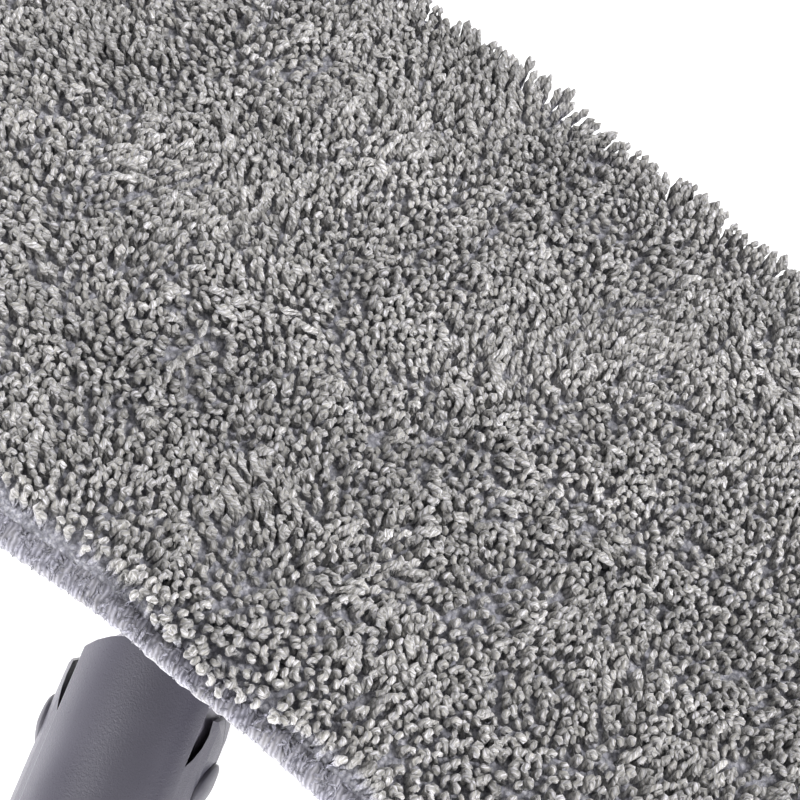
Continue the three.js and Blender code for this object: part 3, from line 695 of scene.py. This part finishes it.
def hem_finish():
    """Overlocked band: tight slanting threads with fuzz, pale lilac grey, painted light on the strands' crests and
    painted shade between them and in the needle's pits.
    """
    f = Finish("Overlocked hem", Roughness=0.82, Sheen_Weight=0.35, Sheen_Roughness=0.45, Specular_IOR_Level=0.25)
    uv = f.node("ShaderNodeUVMap", uv_map="Thread").outputs["UV"]
    split = f.node("ShaderNodeSeparateXYZ", {"Vector": uv})
    slant = f.math("MULTIPLY_ADD", split.outputs["Y"], 0.35, split.outputs["X"])
    worn = f.math("MULTIPLY", f.noise(f.place(), 900, 2.0), 5.0)
    strands = f.math("MULTIPLY_ADD", f.math("SINE", f.math("MULTIPLY_ADD", slant, TURN * 2, worn)), 0.5, 0.5)
    fuzz = f.noise(f.place(), 2200, 4.0, 0.65)
    slow = f.noise(f.place(), 300, 2.0)
    # Painted light and shade: the strands are pale on their crests and a darker copy of the same lilac between them.
    base = f.blend(f.math("MULTIPLY", strands, f.ramp(fuzz, 0.3, 0.7, 0.5, 1.0)), HEM_LOW, HEM_HIGHLIGHT)
    base = f.blend(f.ramp(slow, 0.4, 0.7, 0.0, 0.4), base, YARN_BODY)
    # Painted shade darkens the needle's pits.
    f.colour(f.blend(f.math("MULTIPLY", f.value("pit"), 0.8), base, shade(0.03, 0.03, 0.04)))
    lowered = f.math("SUBTRACT", strands, f.math("MULTIPLY", f.value("pit"), 2.0))
    f.normal(f.bump(fuzz, 0.00012, 0.8, f.bump(lowered, 0.00012, 0.8)))
    return f.material


# ---- plastics, metals and rubber on the CAD parts ----
def plastic_finish(name, low, high, grain, depth, rough=0.5, gloss=0.5):
    """Moulded plastic: cell-like grain, slow changes in tone, and fine pale specks in patches."""
    f = Finish(name, Roughness=rough, Specular_IOR_Level=gloss)
    where = f.place()
    stir = f.node("ShaderNodeTexNoise", {"Vector": where, "Scale": grain * 0.6, "Detail": 1.0})
    stirred = f.node("ShaderNodeMapping", {"Vector": stir.outputs["Color"], "Scale": (0.0006, 0.0006, 0.0006)})
    bend = f.node("ShaderNodeVectorMath", {0: where, 1: stirred.outputs["Vector"]}, operation="ADD")
    bent_place = bend.outputs["Vector"]
    cells = f.cells(bent_place, grain, "SMOOTH_F1")
    fine = f.noise(where, grain * 1.3, 3.0, 0.6)
    slow = f.noise(where, 60, 2.0)
    specks = f.ramp(f.cells(where, 420), 0.0, 0.045, 1.0, 0.0)
    base = f.blend(f.ramp(slow, 0.35, 0.65), low, high)
    hollow = shade(low[0] * 0.75, low[1] * 0.75, low[2] * 0.75)
    base = f.blend(f.ramp(fine, 0.35, 0.7, 0.0, 0.3), base, hollow)
    # Pale specks, scattered in patches.
    pale_speck_patches = f.math("MULTIPLY", specks, f.ramp(f.noise(where, 90, 1.0), 0.56, 0.62, 0.0, 0.35))
    f.colour(f.blend(pale_speck_patches, base, shade(0.35, 0.35, 0.38)))
    f.rough(f.ramp(fine, 0.3, 0.7, rough - 0.07, rough + 0.10))
    f.normal(f.bump(fine, depth * 0.5, 0.7, f.bump(cells, depth, 0.9)))
    return f.material


def metal_finish(name, colour, lines, rough=0.32, metallic=1.0):
    """Drawn or turned metal: fine lines along its length, faint blotches and a few scuffs."""
    f = Finish(name, Roughness=rough, Metallic=metallic)
    where = f.place(lines)
    streaks = f.noise(where, 900, 3.0, 0.6)
    blotch = f.noise(f.place(), 35, 3.0)
    scuffs = f.ramp(f.noise(f.place((1, 9, 9), (0.3, 0.2, 0.5)), 160, 2.0), 0.66, 0.70)
    dark = shade(colour[0] * 0.8, colour[1] * 0.8, colour[2] * 0.8)
    pale = shade(min(1, colour[0] * 1.2), min(1, colour[1] * 1.2), min(1, colour[2] * 1.2))
    base = f.blend(f.ramp(streaks, 0.3, 0.7), dark, colour)
    f.colour(f.blend(f.math("MULTIPLY", scuffs, 0.35), base, pale))
    f.rough(f.ramp(blotch, 0.3, 0.7, rough - 0.06, rough + 0.12))
    f.normal(f.bump(streaks, 0.00001, 0.6))
    return f.material


def rubber_finish(name, low, high):
    """Soft rubber: fine matt stipple, paler where it is rubbed."""
    f = Finish(name, Roughness=0.7, Specular_IOR_Level=0.35)
    stipple = f.cells(f.place(), 1500)
    slow = f.noise(f.place(), 70, 3.0)
    f.colour(f.blend(f.ramp(slow, 0.35, 0.7), low, high))
    f.rough(f.ramp(slow, 0.35, 0.7, 0.62, 0.8))
    f.normal(f.bump(stipple, 0.00005, 0.7))
    return f.material


def hook_finish(name, low, high):
    """Hook tape: rows of small stiff hooks standing on a woven ground."""
    f = Finish(name, Roughness=0.6, Specular_IOR_Level=0.4)
    dots = f.cells(f.place((1, 1, 1)), 700)
    hooks = f.ramp(dots, 0.15, 0.45, 1.0, 0.0)
    ground = f.noise(f.place(), 2500, 2.0)
    f.colour(f.blend(hooks, f.blend(ground, low, shade(low[0] * 0.6, low[1] * 0.6, low[2] * 0.6)), high))
    f.normal(f.bump(hooks, 0.0003, 0.9))
    return f.material


# The yarn's low colour is partly the base threads' lilac and partly painted fill light for the gaps between loops;
# its tip colour is a painted highlight.
YARN_DEEP_PAINTED_FILL = shade(0.36, 0.355, 0.42)
YARN_BODY = shade(0.250, 0.240, 0.222)
YARN_TIP_HIGHLIGHT = shade(0.58, 0.57, 0.62)
# The hem's low lilac grey is the overlock thread's body colour and the painted shade between the band's strands; the
# high one, a lighter copy of it, is a painted highlight.
HEM_LOW = shade(0.15, 0.147, 0.177)
HEM_HIGHLIGHT = shade(0.40, 0.392, 0.455)

pile_yarn = yarn_finish("Twisted pile yarn", YARN_DEEP_PAINTED_FILL, YARN_BODY, YARN_TIP_HIGHLIGHT)
ground_cloth = cloth_finish("Knitted ground", shade(0.12, 0.12, 0.14), shade(0.24, 0.24, 0.24))
backing_cloth = cloth_finish(
    "Brushed backing cloth", shade(0.12, 0.12, 0.135), shade(0.24, 0.24, 0.265), 0.0011, 0.00010,
)
hem_thread = yarn_finish("Overlock thread", shade(0.12, 0.12, 0.15), HEM_LOW, HEM_HIGHLIGHT, 1.0, 0.35)
hem_band = hem_finish()
under_yarn = under_pile_finish()

pile = make_pile(pile_yarn)
ground = shell(
    [(0, GROUND_TOP), (0.5, GROUND_TOP), (0.93, GROUND_TOP), (0.962, GROUND_TOP - 0.0002), (0.965, -0.0064),
     (0.962, GROUND_UNDER + 0.0001), (0.93, GROUND_UNDER), (0.5, GROUND_UNDER), (0, GROUND_UNDER)],
    "pad_ground", ground_cloth, "pile_yarn", 0.0,
)
under_pile = shell(
    [(0, FILL_TOP), (0.3, FILL_TOP), (0.6, FILL_TOP), (0.86, FILL_TOP), (0.925, FILL_TOP - 0.0010),
     (0.955, -0.0052), (0.962, -0.0062), (0.93, -0.0062), (0.5, -0.0062), (0, -0.0062)],
    "pile_under_yarn", under_yarn, "pile_yarn", 0.0,
)
backing = shell(
    [(0, -0.0069), (0.5, -0.0069), (0.93, -0.0069), (0.955, -0.0071), (0.965, -0.0082), (0.955, -0.0092),
     (0.93, BACKING_UNDER), (0.5, BACKING_UNDER), (0, BACKING_UNDER)],
    "pad_backing_cloth", backing_cloth, "backing_cloth", 0.00005,
)
hem = make_hem(hem_band)
stitches = make_hem_stitches(hem_thread)
curls = make_hem_fuzz(hem_thread)

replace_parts(pile[0], "pad_pile")
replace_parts(backing, "pad_backing")
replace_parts(hem, "pad_hem")

NECK_LOW, NECK_HIGH = shade(0.040, 0.0375, 0.052), shade(0.052, 0.049, 0.066)
finishes = {
    "neck": plastic_finish("Grained neck plastic", NECK_LOW, NECK_HIGH, 3400, 0.00005, 0.33, 0.6),
    "knuckle": plastic_finish(
        "Knuckle plastic", shade(0.13, 0.12, 0.15), shade(0.16, 0.15, 0.18), 2600, 0.00003, 0.4,
    ),
    "button": plastic_finish(
        "Button plastic", shade(0.045, 0.043, 0.055), shade(0.06, 0.057, 0.07), 3800, 0.00001, 0.36,
    ),
    "plate": plastic_finish(
        "Plate plastic", shade(0.050, 0.048, 0.060), shade(0.065, 0.063, 0.078), 2100, 0.00004, 0.5,
    ),
    "dark": plastic_finish(
        "Dark plastic", shade(0.035, 0.034, 0.042), shade(0.05, 0.049, 0.058), 2600, 0.00003, 0.45,
    ),
    "pale": plastic_finish("Pale nylon", shade(0.42, 0.42, 0.43), shade(0.5, 0.5, 0.5), 3000, 0.00001, 0.38),
    "pole": metal_finish("Coated tube", shade(0.17, 0.17, 0.19), (0.05, 1, 1), 0.36, 0.8),
    "steel": metal_finish("Turned steel", shade(0.62, 0.62, 0.63), (1, 1, 0.2), 0.25),
    "rubber": rubber_finish("Grip rubber", shade(0.022, 0.022, 0.026), shade(0.042, 0.042, 0.048)),
    "hook": hook_finish("Hook tape", shade(0.03, 0.03, 0.034), shade(0.12, 0.12, 0.13)),
}
wearing = {
    "neck": ["neck_front_cover", "neck_rear_cover"],
    "knuckle": ["knuckle"],
    "plate": ["plate_base", "plate_cover", "swivel_bracket"],
    "dark": ["neck_core", "lock_insert", "lock_collar", "tube_guide", "grip_core", "end_cap", "hanging_loop"],
    "pale": ["swing_bush", "pitch_washer_left", "pitch_washer_right"],
    "pole": ["lower_tube", "upper_tube"],
    "steel": ["swing_pin", "pitch_pin", "neck_screw_1", "neck_screw_2", "button_spring",
              "bracket_screw_1", "bracket_screw_2", "bracket_screw_3", "bracket_screw_4"],
    "rubber": ["grip_sleeve", "bumper_left", "bumper_right"],
    "hook": ["hook_strip_front", "hook_strip_rear"],
}
rounding = {"neck": 0.0004, "knuckle": 0.0004, "plate": 0.0004}
for key, names in wearing.items():
    for name in names:
        piece = smoothed(name, round_edge=rounding.get(key, 0.0))
        piece.data.materials.clear()
        piece.data.materials.append(finishes[key])
for side in ("left", "right"):
    release_button(side)


# ---- camera, floor and light ----
LOOK_FROM = Vector((-0.378592, 0.030760, 0.282956))
LOOK_RIGHT = Vector((-0.38182, 0.92125, -0.07400)).normalized()
LOOK_ALONG = Vector((-0.07593, -0.11106, -0.99091)).normalized()
camera_data = bpy.data.cameras.new("camera")
camera_data.lens = 72.9
camera_data.sensor_width = 36
camera_data.clip_start = 0.01
camera_data.clip_end = 50
camera = bpy.data.objects.new("camera", camera_data)
bpy.context.scene.collection.objects.link(camera)
look_up = LOOK_RIGHT.cross(LOOK_ALONG)
turn = Matrix((LOOK_RIGHT, look_up, -LOOK_ALONG)).transposed()
camera.matrix_world = Matrix.Translation(LOOK_FROM) @ turn.to_4x4()
bpy.context.scene.camera = camera


FLOOR_REACH = 40.0
FLOOR_GLOW = 0.38
FLOOR_SIDES = 64


def make_floor():
    """A wide pale disc under the part, a little bright of itself."""
    pale = shade(0.9, 0.9, 0.9)
    floor_finish = Finish("Pale floor", Base_Color=pale, Roughness=0.9, Specular_IOR_Level=0.1)
    floor_finish.shader.inputs["Emission Color"].default_value = (1, 1, 1, 1)
    floor_finish.shader.inputs["Emission Strength"].default_value = FLOOR_GLOW
    mesh = bpy.data.meshes.new("floor")
    turned = np.arange(FLOOR_SIDES) / FLOOR_SIDES * TURN
    rim = np.stack([FLOOR_REACH * np.cos(turned), FLOOR_REACH * np.sin(turned), 0 * turned], -1)
    mesh.from_pydata(rim.tolist(), [], [list(range(FLOOR_SIDES))])
    mesh.materials.append(floor_finish.material)
    floor = bpy.data.objects.new("floor", mesh)
    bpy.context.scene.collection.objects.link(floor)


def make_lamp(name, place, target, size, power, glossy=True):
    """A round lamp facing its target. One that isn't glossy leaves no highlight."""
    data = bpy.data.lights.new(name, "AREA")
    data.shape = "DISK"
    data.size = size
    data.energy = power
    lamp = bpy.data.objects.new(name, data)
    bpy.context.scene.collection.objects.link(lamp)
    lamp.location = place
    lamp.rotation_mode = "QUATERNION"
    lamp.rotation_quaternion = (Vector(target) - Vector(place)).to_track_quat("-Z", "Y")
    lamp.visible_glossy = glossy
    return lamp


make_floor()
world = bpy.data.worlds.new("studio")
world.use_nodes = True
world.node_tree.nodes["Background"].inputs["Color"].default_value = (1, 1, 1, 1)
world.node_tree.nodes["Background"].inputs["Strength"].default_value = 0.85
bpy.context.scene.world = world
head = Vector(PAD_CENTRE)
make_lamp("key", head + Vector((-0.5, 0.9, 1.1)), head, 0.5, 22)
make_lamp("fill", head + Vector((0.9, -0.6, 1.3)), head, 1.0, 8)
neck_place = Vector(SWING_PIN)
make_lamp("rim_left", neck_place + Vector((0.15, -0.55, 0.12)), neck_place, 0.35, 9.0, glossy=False)
make_lamp("rim_right", neck_place + Vector((0.25, 0.55, 0.16)), neck_place, 0.35, 6.5, glossy=False)
bpy.context.scene.view_settings.view_transform = "Standard"
